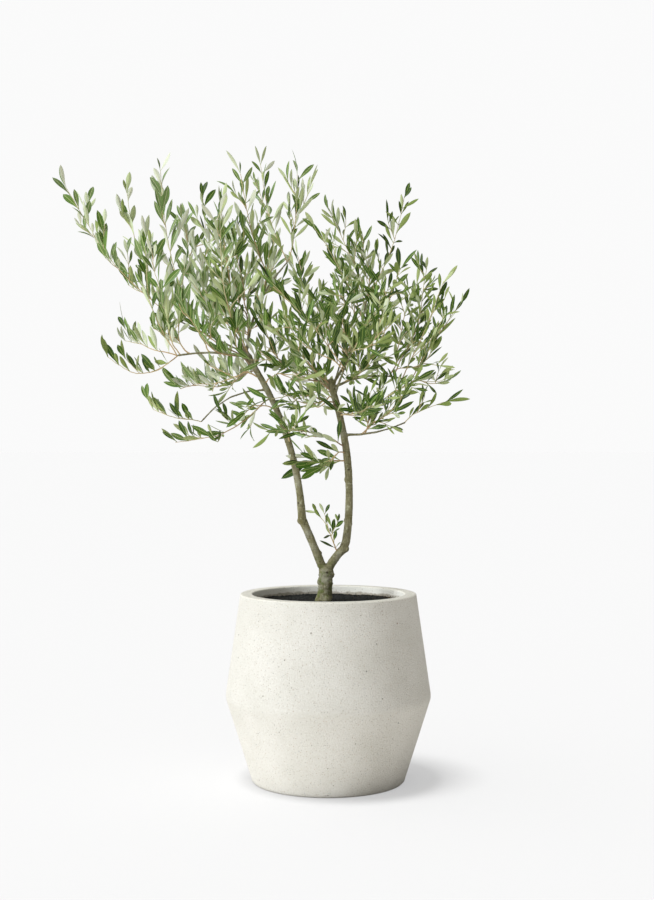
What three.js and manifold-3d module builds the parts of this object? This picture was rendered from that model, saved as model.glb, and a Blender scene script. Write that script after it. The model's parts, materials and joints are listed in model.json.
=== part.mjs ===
// A young olive tree in a round pot: two leaning stems from a short trunk, thin boughs cut back to
// two heads, and a wide, airy crown of slender sprays. Millimetres, +Z up. The origin is the centre
// of the pot's flat underside; +X is the crown's short side, -X its long side, +Y the back.
import * as THREE from "three";
import { mergeVertices } from "three/addons/utils/BufferGeometryUtils.js";
import Module from "manifold-3d";

// ---- driving dimensions -------------------------------------------------------------------------

const GAP = 0.3; // gap left between pieces that touch
const LEAF_GAP = 0.45; // the same between masses of foliage, whose skins meet at a slant

const POT = {
  height: 346,
  footRadius: 142.5,
  creaseHeight: 156,
  creaseRadius: 190,
  rimRadius: 163.4,
  mouthRadius: 140.6,
  lipDepth: 40, // the wall is as thick as the rim down to here
  wall: 14,
  floor: 16,
  edge: 2, // bevel of the rim's and foot's edges
  sides: 36,
};

const SOIL_TOP = 331;
const SOIL_GAP = 0.4; // more than the flats of the pot's facets leave

const TRUNK_FOOT = new THREE.Vector3(-8, 0, SOIL_TOP + GAP);

// Every limb leaves the limb it grows on at a fraction of that limb's length. azimuth is the
// heading in degrees from +X towards +Y, rise the angle above level, and length the straight reach
// from its start to its tip. lift and swing bow its middle up and sideways. base and tip are radii,
// and each swelling is a knot, burl or old cut: where it lies, how wide and how proud it is.
const LIMBS = {
  trunk: {
    azimuth: 0, rise: 85.5, length: 57, base: 12.8, tip: 14.6, flare: 3.2, levelFoot: true,
    sides: 12, rings: 6,
  },
  left_stem_lower: {
    on: "trunk", at: 0.8, azimuth: 188, rise: 67.5, length: 116, lift: 1, swing: -1,
    base: 8.3, tip: 7.1, swellings: [[1, 0.09, 1.4]], sides: 10, rings: 6,
  },
  left_stem_upper: {
    on: "left_stem_lower", at: 1, azimuth: 186.5, rise: 70.8, length: 328, lift: 23, swing: 5,
    base: 7, tip: 5.2, swellings: [[0, 0.03, 1.4], [0.985, 0.03, 5]], sides: 10, rings: 13,
  },
  left_leader: {
    on: "left_stem_upper", at: 0.98, azimuth: 23, rise: 65, length: 194, lift: 15, swing: 10,
    base: 3.4, tip: 1.6,
  },
  left_bough: {
    on: "left_stem_upper", at: 0.97, azimuth: 187, rise: 0, length: 129, lift: 6, base: 2.8, tip: 1.9,
  },
  left_upper_bough: {
    on: "left_stem_upper", at: 0.99, azimuth: 172, rise: 26, length: 159, swing: 2, base: 2, tip: 1.4,
  },
  left_back_bough: {
    on: "left_stem_upper", at: 0.96, azimuth: 112, rise: 30, length: 153, lift: 7, swing: 2,
    base: 2.4, tip: 1.5,
  },
  low_left_bough: {
    on: "left_stem_upper", at: 0.755, azimuth: 192, rise: -26, length: 136, lift: 17, swing: -2,
    base: 2, tip: 1.4,
  },
  right_stem_lower: {
    on: "trunk", at: 0.82, azimuth: 12.5, rise: 55, length: 65, lift: 5, swing: -1,
    base: 8.4, tip: 7.8, swellings: [[1, 0.14, 1.2]], sides: 10, rings: 6,
  },
  right_stem_upper: {
    on: "right_stem_lower", at: 1, azimuth: 159, rise: 84, length: 314, lift: 18, swing: -8,
    base: 7.6, tip: 6, swellings: [[0, 0.03, 1.2], [0.14, 0.02, 0.9], [0.5, 0.02, 0.8], [0.95, 0.04, 1.6]],
    sides: 10, rings: 13,
  },
  right_leader: {
    on: "right_stem_upper", at: 0.96, azimuth: 20, rise: 67, length: 187, lift: -10, swing: -6,
    base: 3, tip: 1.5,
  },
  right_bough: {
    on: "right_stem_upper", at: 0.95, azimuth: -4, rise: 5, length: 148, lift: 16, swing: -3,
    base: 2.7, tip: 1.7,
  },
  right_back_bough: {
    on: "right_stem_upper", at: 0.93, azimuth: 77, rise: 36, length: 140, lift: 7, base: 2.5, tip: 1.5,
  },
  right_front_bough: {
    on: "right_stem_upper", at: 0.9, azimuth: -75, rise: 32, length: 140, lift: 4, base: 2.5, tip: 1.5,
  },
  right_low_bough: {
    on: "right_stem_upper", at: 0.665, azimuth: -11, rise: 11, length: 118, lift: -7, swing: 1,
    base: 2.5, tip: 1.6,
  },
};

// Every mass of foliage starts on a limb and bows like one. half is its half width, and flat how
// thick it is for its width: the sprays that hold all their leaves up from a level twig are thin.
const SPRAYS = {
  far_left: { on: "left_upper_bough", at: 1, azimuth: 200, rise: 51, length: 331, lift: -9, half: 28 },
  left_column: { on: "left_upper_bough", at: 1, azimuth: 132, rise: 62, length: 315, swing: 17,
    half: 29 },
  upper_left: { on: "left_upper_bough", at: 0.6, azimuth: 210, rise: 76, length: 331, lift: -17,
    half: 33 },
  left_low: { on: "left_bough", at: 1, azimuth: 147, rise: 26, length: 170, half: 21 },
  twig_a: { on: "left_bough", at: 1, azimuth: 190, rise: 7, length: 144, lift: -26, half: 27, flat: 0.6 },
  left_shoot: { on: "left_back_bough", at: 0.9, azimuth: 133, rise: 74, length: 299, lift: -14,
    half: 28 },
  top_a: { on: "left_leader", at: 0.75, azimuth: 241, rise: 62, length: 243, lift: -10, half: 28 },
  top_b: { on: "left_leader", at: 1, azimuth: 127, rise: 67, length: 247, lift: -12, half: 28 },
  top_c: { on: "left_leader", at: 1, azimuth: 0, rise: 85, length: 197, lift: -7, half: 32 },
  mid_shoot_a: { on: "right_leader", at: 0.75, azimuth: 228, rise: 48, length: 236, lift: 18, half: 22 },
  mid_shoot_b: { on: "right_leader", at: 1, azimuth: 183, rise: 65, length: 208, swing: -8, lift: 9,
    half: 30 },
  lone_shoot: { on: "right_leader", at: 1, azimuth: 36, rise: 67, length: 244, lift: -14, half: 25 },
  right_tip_a: { on: "right_bough", at: 1, azimuth: 15, rise: 55, length: 205, lift: 9, half: 24 },
  right_tip_b: { on: "right_bough", at: 0.9, azimuth: -48, rise: 59, length: 232, half: 33 },
  right_low: { on: "right_bough", at: 1, azimuth: 19, rise: -1, length: 96, lift: 6, half: 30 },
  low_right_b: { on: "right_low_bough", at: 1, azimuth: -14, rise: 19, length: 110, lift: 17, half: 21 },
  twig_b: { on: "low_left_bough", at: 1, azimuth: 193, rise: 25, length: 132, half: 26, flat: 0.6 },
  twig_c: { on: "left_stem_upper", at: 0.71, azimuth: 203, rise: -22, length: 228, lift: -16, half: 22,
    flat: 0.6 },
  centre_low: { on: "right_stem_upper", at: 0.58, azimuth: 207, rise: 8, length: 187, lift: 24, swing: 10,
    half: 25 },
  centre_twig: { on: "right_stem_upper", at: 0.51, azimuth: 208, rise: -1, length: 140, half: 33 },
  sprout: { on: "right_stem_lower", at: 0.75, azimuth: 216, rise: 68, length: 102, lift: -4, half: 25 },
  left_outer: { on: "left_bough", at: 1, azimuth: 241, rise: 66, length: 238, swing: -10, half: 44 },
  left_back: { on: "left_back_bough", at: 1, azimuth: 151, rise: 67, length: 241, lift: -24, swing: -14,
    half: 46 },
  back_left: { on: "left_back_bough", at: 1, azimuth: 125, rise: 36, length: 203, half: 44 },
  left_inner: { on: "left_stem_upper", at: 0.99, azimuth: 246, rise: 71, length: 294, lift: -10, swing: -7,
    half: 48 },
  front_left: { on: "left_stem_upper", at: 0.96, azimuth: 242, rise: 22, length: 254, swing: -18,
    half: 44 },
  low_left: { on: "left_stem_upper", at: 0.88, azimuth: 163, rise: -10, length: 169, lift: 4, swing: 8,
    half: 42 },
  mid_front: { on: "left_leader", at: 0.2, azimuth: 233, rise: 79, length: 206, lift: -17, half: 50 },
  mid_back: { on: "left_leader", at: 0.5, azimuth: 81, rise: 57, length: 218, lift: -19, half: 48 },
  back_mid: { on: "right_back_bough", at: 1, azimuth: 135, rise: 53, length: 263, lift: -14, half: 50 },
  back_right: { on: "right_back_bough", at: 1, azimuth: 41, rise: 40, length: 200, lift: -8, half: 46 },
  centre: { on: "right_stem_upper", at: 0.97, azimuth: 211, rise: 40, length: 217, lift: -10, swing: 9,
    half: 50 },
  centre_front: { on: "right_stem_upper", at: 0.86, azimuth: 219, rise: 8, length: 174, lift: 7,
    half: 32 },
  back_low: { on: "right_stem_upper", at: 0.9, azimuth: 108, rise: 1, length: 190, lift: 10, half: 42 },
  front_low: { on: "right_stem_upper", at: 0.78, azimuth: -72, rise: 4, length: 220, lift: 8, half: 32 },
  front_mid: { on: "right_front_bough", at: 0.6, azimuth: 234, rise: 32, length: 282, half: 46 },
  front_right: { on: "right_front_bough", at: 1, azimuth: -65, rise: 29, length: 163, half: 44 },
  right_inner: { on: "right_leader", at: 0.3, azimuth: 258, rise: 69, length: 189, lift: 6, half: 48 },
  right_back: { on: "right_leader", at: 0.8, azimuth: 86, rise: 61, length: 193, lift: 2, half: 42 },
  right_outer: { on: "right_leader", at: 0.5, azimuth: -55, rise: 45, length: 204, lift: 4, swing: 14,
    half: 46 },
  right_edge: { on: "right_bough", at: 0.8, azimuth: 42, rise: 69, length: 255, half: 42 },
  right_middle: { on: "right_bough", at: 0.2, azimuth: -37, rise: 35, length: 113, half: 36 },
  low_right_a: { on: "right_low_bough", at: 0.35, azimuth: -36, rise: 37, length: 168, lift: 13, swing: -13,
    half: 38 },
};

const SLENDER = 33; // a mass no wider than this each way is one shoot with fewer facets
const SHOOT_FACETS = { sides: 6, rings: 5 };
const BULK_FACETS = { sides: 7, rings: 5 };
const BOUGH_FACETS = { sides: 6, rings: 5 };
const UNEVEN = 0.2; // how far a mass's surface wanders from its smooth spindle

// ---- colours ------------------------------------------------------------------------------------

const FINISHES = {
  pot: new THREE.MeshStandardMaterial({ color: "#e6e3da", roughness: 0.85, metalness: 0 }),
  soil: new THREE.MeshStandardMaterial({ color: "#33312c", roughness: 1, metalness: 0 }),
  bark: new THREE.MeshStandardMaterial({ color: "#7c7a5e", roughness: 0.9, metalness: 0 }),
  foliage: new THREE.MeshStandardMaterial({ color: "#7f9468", roughness: 0.6, metalness: 0 }),
};

// ---- axes of limbs and masses -------------------------------------------------------------------

/** The bowed axis that leaves `start` with a row's heading, climb, length, lift and swing. */
function bowedAxis(start, { azimuth, rise, length, lift = 0, swing = 0 }) {
  const a = THREE.MathUtils.degToRad(azimuth);
  const r = THREE.MathUtils.degToRad(rise);
  const along = new THREE.Vector3(Math.cos(r) * Math.cos(a), Math.cos(r) * Math.sin(a), Math.sin(r));
  const above = new THREE.Vector3(-Math.sin(r) * Math.cos(a), -Math.sin(r) * Math.sin(a), Math.cos(r));
  const aside = new THREE.Vector3(-Math.sin(a), Math.cos(a), 0);
  const bow = above.multiplyScalar(lift).addScaledVector(aside, swing);
  const control = start.clone().addScaledVector(along, length / 2).addScaledVector(bow, 2);
  const end = start.clone().addScaledVector(along, length);
  return new THREE.QuadraticBezierCurve3(start, control, end);
}

/** Each limb's axis by name, every one starting on the limb that it grows from. */
function limbAxes() {
  const axes = {};
  for (const [name, limb] of Object.entries(LIMBS)) {
    const start = limb.on ? axes[limb.on].getPoint(limb.at) : TRUNK_FOOT.clone();
    axes[name] = bowedAxis(start, limb);
  }
  return axes;
}

// ---- closed tubes with a changing radius --------------------------------------------------------

const STEEP = 0.9; // an axis that climbs more steeply than this is squared to +X instead of +Z

/**
 * A closed skin round an axis. radiusAt(t, angle) is its radius, flat thins it sideways, and each
 * end is closed by a flat fan, pushed out by `reach`. A level foot lies in one level plane.
 */
function skinAround(axis, { sides, rings, radiusAt, flat = 1, reach = 0, levelFoot = false }) {
  const chord = axis.getPoint(1).sub(axis.getPoint(0)).normalize();
  const reference = chord.z > STEEP ? new THREE.Vector3(1, 0, 0) : new THREE.Vector3(0, 0, 1);
  const positions = [];
  const indices = [];
  for (let ring = 0; ring < rings; ring += 1) {
    const t = ring / (rings - 1);
    const centre = axis.getPoint(t);
    const tangent = axis.getTangent(t);
    if (ring === 0) centre.addScaledVector(tangent, -reach);
    if (ring === rings - 1) centre.addScaledVector(tangent, reach);
    const aside = new THREE.Vector3().crossVectors(reference, tangent).normalize();
    const above = new THREE.Vector3().crossVectors(tangent, aside);
    for (let side = 0; side < sides; side += 1) {
      const angle = (2 * Math.PI * side) / sides;
      const radius = radiusAt(t, angle);
      const point = centre.clone();
      point.addScaledVector(aside, radius * flat * Math.cos(angle));
      point.addScaledVector(above, radius * Math.sin(angle));
      if (levelFoot && ring === 0) point.z = centre.z;
      positions.push(...point);
    }
  }
  for (let ring = 0; ring < rings - 1; ring += 1) {
    for (let side = 0; side < sides; side += 1) {
      const a = ring * sides + side;
      const b = ring * sides + ((side + 1) % sides);
      indices.push(a, b, a + sides, b, b + sides, a + sides);
    }
  }
  for (const [ring, flip] of [[0, true], [rings - 1, false]]) {
    const first = ring * sides;
    for (let side = 1; side < sides - 1; side += 1) {
      const fan = [first, first + side, first + side + 1];
      indices.push(...(flip ? fan.reverse() : fan));
    }
  }
  const geometry = new THREE.BufferGeometry();
  geometry.setAttribute("position", new THREE.Float32BufferAttribute(positions, 3));
  geometry.setIndex(indices);
  return geometry;
}

/** A tapering limb with its root flare and its swellings, `grow` larger than it is all round. */
function limbGeometry(axis, limb, grow = 0) {
  const { base, tip, flare = 0, swellings = [], levelFoot } = limb;
  const { sides = BOUGH_FACETS.sides, rings = BOUGH_FACETS.rings } = limb;
  const radiusAt = (t) => {
    let radius = THREE.MathUtils.lerp(base, tip, t) + flare * Math.exp(-5 * t) + grow;
    for (const [place, width, proud] of swellings) {
      radius += proud * Math.exp(-(((t - place) / width) ** 2));
    }
    return radius;
  };
  return skinAround(axis, { sides, rings, radiusAt, reach: grow, levelFoot });
}

/** An uneven spindle of foliage: thin where it leaves its limb, full at a third, pointed at its tip. */
function sprayGeometry(axis, spray, seed, grow = 0) {
  const { half, flat = 1 } = spray;
  const { sides, rings } = half <= SLENDER ? SHOOT_FACETS : BULK_FACETS;
  const radiusAt = (t, angle) => {
    const spindle = Math.sin(Math.PI * (0.07 + 0.86 * t ** 0.85));
    const lobes = Math.sin(2 * angle + seed * 1.7 + 5 * t) + Math.sin(3 * angle - seed * 2.3 + 7 * t);
    return half * spindle * (1 + UNEVEN * 0.5 * lobes) + grow;
  };
  return skinAround(axis, { sides, rings, radiusAt, flat, reach: grow });
}

// ---- joining and cutting ------------------------------------------------------------------------

const wasm = await Module();
wasm.setup();

function toSolid(geometry) {
  const bare = geometry.clone();
  bare.deleteAttribute("normal");
  bare.deleteAttribute("uv");
  const merged = mergeVertices(bare, 1e-4);
  const vertProperties = Float32Array.from(merged.attributes.position.array);
  const triVerts = Uint32Array.from(merged.index.array);
  return new wasm.Manifold(new wasm.Mesh({ numProp: 3, vertProperties, triVerts }));
}

function toGeometry(solid) {
  const { vertProperties, triVerts } = solid.getMesh();
  const geometry = new THREE.BufferGeometry();
  geometry.setAttribute("position", new THREE.BufferAttribute(vertProperties, 3));
  geometry.setIndex(new THREE.BufferAttribute(triVerts, 1));
  return geometry;
}

function largestBody(solid) {
  return solid.decompose().reduce((a, b) => (b.volume() > a.volume() ? b : a));
}

function boxesMeet(a, b) {
  const [p, q] = [a.boundingBox(), b.boundingBox()];
  return [0, 1, 2].every((i) => p.min[i] <= q.max[i] && q.min[i] <= p.max[i]);
}

/** The largest body of `solid` once every nearby solid of `cutters` has been cut out of it. */
function cutClear(solid, cutters) {
  const near = cutters.filter((cutter) => boxesMeet(solid, cutter));
  return near.length ? largestBody(near.reduce((rest, cutter) => rest.subtract(cutter), solid)) : solid;
}

// ---- the pot and its soil -----------------------------------------------------------------------

/** Radius of the pot's outer face at a height: a cone out to the crease, and one back to the rim. */
function potRadius(z) {
  const { height, footRadius, creaseHeight, creaseRadius, rimRadius } = POT;
  if (z < creaseHeight) return THREE.MathUtils.mapLinear(z, 0, creaseHeight, footRadius, creaseRadius);
  return THREE.MathUtils.mapLinear(z, creaseHeight, height, creaseRadius, rimRadius);
}

function lathe(profile) {
  const points = profile.map(([radius, z]) => new THREE.Vector2(radius, z));
  return new THREE.LatheGeometry(points, POT.sides).rotateX(Math.PI / 2);
}

function potGeometry() {
  const { height, creaseHeight, mouthRadius, lipDepth, wall, floor, edge } = POT;
  const lipFoot = height - lipDepth;
  return lathe([
    [0, 0],
    [potRadius(0) - edge, 0],
    [potRadius(edge), edge],
    [potRadius(creaseHeight), creaseHeight],
    [potRadius(height - edge), height - edge],
    [potRadius(height) - edge, height],
    [mouthRadius + edge, height],
    [mouthRadius, height - edge],
    [mouthRadius, lipFoot],
    [potRadius(lipFoot) - wall, lipFoot - wall],
    [potRadius(creaseHeight) - wall, creaseHeight],
    [potRadius(floor) - wall, floor],
    [0, floor],
  ]);
}

function soilGeometry() {
  const { height, creaseHeight, mouthRadius, lipDepth, wall, floor } = POT;
  const lipFoot = height - lipDepth;
  const inset = SOIL_GAP / Math.cos(Math.PI / POT.sides);
  return lathe([
    [0, floor + GAP],
    [potRadius(floor) - wall - inset, floor + GAP],
    [potRadius(creaseHeight) - wall - inset, creaseHeight],
    [potRadius(lipFoot) - wall - inset, lipFoot - wall - inset],
    [mouthRadius - inset, lipFoot - inset],
    [mouthRadius - inset, SOIL_TOP],
    [0, SOIL_TOP],
  ]);
}

// ---- assembly -----------------------------------------------------------------------------------

const tree = new THREE.Group();

function addPiece(name, geometry, finish) {
  const piece = new THREE.Mesh(geometry, FINISHES[finish]);
  piece.name = name;
  tree.add(piece);
}

addPiece("pot", potGeometry(), "pot");
addPiece("soil", soilGeometry(), "soil");

const axes = limbAxes();
const grown = [];
for (const [name, limb] of Object.entries(LIMBS)) {
  const body = cutClear(toSolid(limbGeometry(axes[name], limb)), grown);
  addPiece(name, toGeometry(body), "bark");
  grown.push(toSolid(limbGeometry(axes[name], limb, GAP)));
}
Object.entries(SPRAYS).forEach(([name, spray], seed) => {
  const axis = bowedAxis(axes[spray.on].getPoint(spray.at), spray);
  const body = cutClear(toSolid(sprayGeometry(axis, spray, seed)), grown);
  addPiece(`foliage_${name}`, toGeometry(body), "foliage");
  grown.push(toSolid(sprayGeometry(axis, spray, seed, LEAF_GAP)));
});

export default tree;
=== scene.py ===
"""Looks of the potted olive tree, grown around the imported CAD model. Metres, +Z up.

The stems and boughs get one bark mesh with relief. Each mass of foliage becomes one or two leading
shoots along the mass's own axis, from which side shoots with opposite pairs of leaves grow by a
seeded rule, and loose shoots cross the gaps between the masses. The planter and the soil get
finished meshes over the sizes that the CAD nodes have.
"""
import json
import math
import random

import bpy
import numpy as np
from mathutils import Matrix, Vector, noise
from mathutils.bvhtree import BVHTree

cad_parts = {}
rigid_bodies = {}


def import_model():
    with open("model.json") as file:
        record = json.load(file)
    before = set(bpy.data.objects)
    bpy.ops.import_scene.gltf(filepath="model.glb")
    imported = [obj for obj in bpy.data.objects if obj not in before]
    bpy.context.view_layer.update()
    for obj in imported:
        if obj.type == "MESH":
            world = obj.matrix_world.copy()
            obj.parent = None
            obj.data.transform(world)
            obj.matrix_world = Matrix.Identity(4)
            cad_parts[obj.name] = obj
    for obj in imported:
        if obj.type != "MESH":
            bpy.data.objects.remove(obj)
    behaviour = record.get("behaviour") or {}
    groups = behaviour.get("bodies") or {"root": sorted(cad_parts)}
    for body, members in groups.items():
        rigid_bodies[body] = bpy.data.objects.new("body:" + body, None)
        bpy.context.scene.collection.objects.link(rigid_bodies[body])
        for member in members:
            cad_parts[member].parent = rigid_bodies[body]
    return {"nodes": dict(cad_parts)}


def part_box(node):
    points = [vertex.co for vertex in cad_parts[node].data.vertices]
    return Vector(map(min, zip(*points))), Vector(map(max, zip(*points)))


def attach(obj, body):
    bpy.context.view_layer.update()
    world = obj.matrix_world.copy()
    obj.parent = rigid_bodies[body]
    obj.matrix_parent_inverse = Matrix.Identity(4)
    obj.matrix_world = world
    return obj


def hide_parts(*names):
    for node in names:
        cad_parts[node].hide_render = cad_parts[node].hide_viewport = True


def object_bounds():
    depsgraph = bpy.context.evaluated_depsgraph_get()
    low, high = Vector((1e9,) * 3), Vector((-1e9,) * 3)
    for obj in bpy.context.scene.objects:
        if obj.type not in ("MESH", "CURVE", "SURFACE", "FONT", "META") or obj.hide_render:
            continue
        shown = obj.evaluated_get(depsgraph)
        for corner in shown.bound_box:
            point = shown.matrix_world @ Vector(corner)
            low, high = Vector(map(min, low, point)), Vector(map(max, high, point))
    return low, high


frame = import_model()
CAD_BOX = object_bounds()

MM = 0.001
UP = Vector((0, 0, 1))
TURN = 2 * math.pi
GOLDEN_ANGLE = math.radians(137.5)

# ---- what grows on each limb ----

# Each limb and the limb that it grows on.
STEMS = {
    "trunk": None,
    "left_stem_lower": "trunk",
    "left_stem_upper": "left_stem_lower",
    "right_stem_lower": "trunk",
    "right_stem_upper": "right_stem_lower",
}
LEFT_BOUGHS = ("left_leader", "left_bough", "left_upper_bough", "left_back_bough", "low_left_bough")
RIGHT_BOUGHS = ("right_leader", "right_bough", "right_back_bough", "right_front_bough",
                "right_low_bough")
BOUGHS = {**dict.fromkeys(LEFT_BOUGHS, "left_stem_upper"),
          **dict.fromkeys(RIGHT_BOUGHS, "right_stem_upper")}
# Each mass, the limb it grows on, and where it differs from the others: how full it is of shoots, the
# scale of its leaves, how sparse, broad and upright they are, and how many tints darker.
MASSES = {
    "far_left": dict(on="left_upper_bough", full=1.6, sparse=1.12, darker=1.3),
    "left_column": dict(on="left_upper_bough", full=0.45, sparse=1.3, darker=1),
    "upper_left": dict(on="left_upper_bough", full=1.15, sparse=1.3),
    "left_low": dict(on="left_bough", full=0.25, sparse=1.3),
    "twig_a": dict(on="left_bough", full=0.7, scale=0.84, sparse=1.35, broad=1.15, darker=2.4),
    "left_shoot": dict(on="left_back_bough", full=0.75, sparse=1.15),
    "top_a": dict(on="left_leader", full=0.9),
    "top_b": dict(on="left_leader", full=0.25, darker=0.5),
    "top_c": dict(on="left_leader", full=1.6),
    "mid_shoot_a": dict(on="right_leader", full=0.5),
    "mid_shoot_b": dict(on="right_leader", full=2),
    "lone_shoot": dict(on="right_leader", full=0.5, broad=1.15, darker=1.4),
    "right_tip_a": dict(on="right_bough", full=1.1),
    "right_tip_b": dict(on="right_bough", full=1.15),
    "right_low": dict(on="right_bough", full=1.7, scale=0.85),
    "low_right_b": dict(on="right_low_bough", full=0.55, scale=0.9, darker=0.8, upright=0.3),
    "twig_b": dict(on="low_left_bough", full=1.1, scale=0.84, sparse=1.2, broad=1.2, darker=2.4),
    "twig_c": dict(on="left_stem_upper", full=1.1, scale=0.84, sparse=1.4, broad=1.2, darker=2.2),
    "centre_low": dict(on="right_stem_upper", full=0.3, scale=0.9, upright=0.2),
    "centre_twig": dict(on="right_stem_upper", scale=1.2, sparse=0.85, broad=1.05, darker=0.6, upright=0),
    "sprout": dict(on="right_stem_lower", full=2, scale=0.62, sparse=2, broad=1.6, darker=1.5, upright=0.2),
    "left_outer": dict(on="left_bough", full=1.15, darker=0.6),
    "left_back": dict(on="left_back_bough", full=0.42),
    "back_left": dict(on="left_back_bough", full=0.2),
    "left_inner": dict(on="left_stem_upper", full=0.55),
    "front_left": dict(on="left_stem_upper", full=0.38),
    "low_left": dict(on="left_stem_upper", full=1.4),
    "mid_front": dict(on="left_leader", full=0.95),
    "mid_back": dict(on="left_leader", full=0.68),
    "back_mid": dict(on="right_back_bough", full=0.7),
    "back_right": dict(on="right_back_bough", full=0.7),
    "centre": dict(on="right_stem_upper", full=1.1),
    "centre_front": dict(on="right_stem_upper", full=0.25),
    "back_low": dict(on="right_stem_upper", full=0.15),
    "front_low": dict(on="right_stem_upper", full=2.4, scale=0.85),
    "front_mid": dict(on="right_front_bough", full=0.75),
    "front_right": dict(on="right_front_bough", full=0.65),
    "right_inner": dict(on="right_leader"),
    "right_back": dict(on="right_leader", full=0.65),
    "right_outer": dict(on="right_leader", full=0.55),
    "right_edge": dict(on="right_bough", full=1.4),
    "right_middle": dict(on="right_bough", full=2.8, scale=0.85, upright=0.3),
    "low_right_a": dict(on="right_low_bough", full=1.8, scale=0.85, upright=0.3),
}
# Shoots between the masses: the limb, the share of its length and where the tip comes to, in mm.
LOOSE_SHOOTS = [
    ("left_bough", 0.8, (-275, -25, 850)),
    ("left_bough", 0.5, (-215, 20, 845)),
    ("right_stem_upper", 0.96, (-140, -70, 775)),
    ("right_stem_upper", 0.82, (-105, -45, 705)),
    ("left_stem_upper", 0.78, (-40, -60, 740)),
    ("left_stem_upper", 0.62, (-150, -55, 690)),
    ("left_stem_upper", 0.42, (-60, -80, 655)),
    ("left_stem_upper", 0.9, (-95, 60, 800)),
    ("right_stem_upper", 0.9, (-60, 75, 760)),
    ("right_stem_upper", 0.55, (2, -34, 582)),
]

# ---- small helpers ----

def colour(hexadecimal):
    """Linear RGBA of an sRGB colour such as #8b9a6d."""
    channels = [int(hexadecimal[i:i + 2], 16) / 255 for i in (1, 3, 5)]
    linear = [c / 12.92 if c <= 0.04045 else ((c + 0.055) / 1.055) ** 2.4 for c in channels]
    return (*linear, 1.0)


def mix(a, b, t):
    return a + (b - a) * t


def clamp(value, low, high):
    return min(max(value, low), high)


def tapered(first, last, count):
    """Evenly spaced values from the first to the last."""
    return [mix(first, last, k / max(count - 1, 1)) for k in range(count)]


def jitter(rng, size):
    """A small random vector."""
    return Vector([rng.gauss(0, size) for _ in range(3)])


def square_to(axis):
    """Two unit vectors square to an axis and to each other."""
    reference = Vector((1, 0, 0)) if abs(axis.z) > 0.9 else UP
    aside = axis.cross(reference).normalized()
    return aside, aside.cross(axis).normalized()


def around(aside, above, angle):
    """The unit vector at an angle from one direction towards another."""
    return aside * math.cos(angle) + above * math.sin(angle)


class Path:
    """A smooth curve through points, with a radius at each."""

    def __init__(self, points, radii):
        self.points = [Vector(p) for p in points]
        self.radii = list(radii)
        steps = [(b - a).length for a, b in zip(self.points, self.points[1:])]
        self.along = [0.0]
        for step in steps:
            self.along.append(self.along[-1] + step)
        self.length = self.along[-1]

    def place(self, t):
        """The span and the share of it where the path has run the share t of its length."""
        run = clamp(t, 0.0, 1.0) * self.length
        span = 0
        while span < len(self.points) - 2 and self.along[span + 1] < run:
            span += 1
        width = self.along[span + 1] - self.along[span]
        return span, (run - self.along[span]) / width

    def at(self, t):
        """Catmull-Rom point at the share t of the length."""
        i, u = self.place(t)
        p1, p2 = self.points[i], self.points[i + 1]
        p0 = self.points[i - 1] if i > 0 else p1 * 2 - p2
        p3 = self.points[i + 2] if i + 2 < len(self.points) else p2 * 2 - p1
        return 0.5 * (2 * p1 + (p2 - p0) * u + (2 * p0 - 5 * p1 + 4 * p2 - p3) * u**2
                      + (3 * p1 - p0 - 3 * p2 + p3) * u**3)

    def heading(self, t):
        return (self.at(min(t + 0.01, 1.0)) - self.at(max(t - 0.01, 0.0))).normalized()

    def radius(self, t):
        i, u = self.place(t)
        return mix(self.radii[i], self.radii[i + 1], u)

    def nearest(self, point):
        """The share of the length at which the path passes nearest to a point."""
        shares = [k / 100 for k in range(101)]
        return min(shares, key=lambda t: (self.at(t) - point).length)

    def gap(self, point):
        return (self.at(self.nearest(point)) - point).length

    def resampled(self, step):
        count = max(2, round(self.length / step) + 1)
        shares = [k / (count - 1) for k in range(count)]
        return [self.at(t) for t in shares], [self.radius(t) for t in shares]


class Builder:
    """Collects vertices and faces with material numbers, and makes one mesh object of them."""

    def __init__(self):
        self.points = []
        self.faces = []
        self.slots = []

    def tube(self, points, radii, sides, slots):
        """A closed tube along points. slots gives each span's material."""
        aside, above = square_to((points[1] - points[0]).normalized())
        first = len(self.points)
        for i, (centre, radius) in enumerate(zip(points, radii)):
            ahead = points[min(i + 1, len(points) - 1)] - points[max(i - 1, 0)]
            ahead.normalize()
            aside = (aside - ahead * aside.dot(ahead)).normalized()
            above = aside.cross(ahead)
            for k in range(sides):
                self.points.append(centre + around(aside, above, TURN * k / sides) * radius)
        for i in range(len(points) - 1):
            for k in range(sides):
                a = first + i * sides + k
                b = first + i * sides + (k + 1) % sides
                self.faces.append((a, a + sides, b + sides, b))
                self.slots.append(slots[i])
        last = len(self.points) - sides
        self.faces.append(tuple(range(first, first + sides)))
        self.faces.append(tuple(range(len(self.points) - 1, last - 1, -1)))
        self.slots += [slots[0], slots[-1]]

    def grid(self, rows, slots, wrap=False):
        """Quads over equally long rows of points. slots gives each column's material."""
        first, across = len(self.points), len(rows[0])
        for row in rows:
            self.points.extend(row)
        for i in range(len(rows) - 1):
            for k in range(across if wrap else across - 1):
                a = first + i * across + k
                b = first + i * across + (k + 1) % across
                self.faces.append((a, b, b + across, a + across))
                self.slots.append(slots[k])

    def build(self, name, materials, sharp=60):
        """Makes the piece. Edges that turn by more than `sharp` degrees stay sharp."""
        mesh = bpy.data.meshes.new(name)
        mesh.from_pydata([tuple(p) for p in self.points], [], self.faces)
        for material in materials:
            mesh.materials.append(material)
        mesh.polygons.foreach_set("material_index", self.slots)
        mesh.shade_smooth()
        mesh.set_sharp_from_angle(angle=math.radians(sharp))
        mesh.update()
        return add_object(name, mesh)


def add_object(name, data):
    made = bpy.data.objects.new(name, data)
    bpy.context.scene.collection.objects.link(made)
    return made


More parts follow.
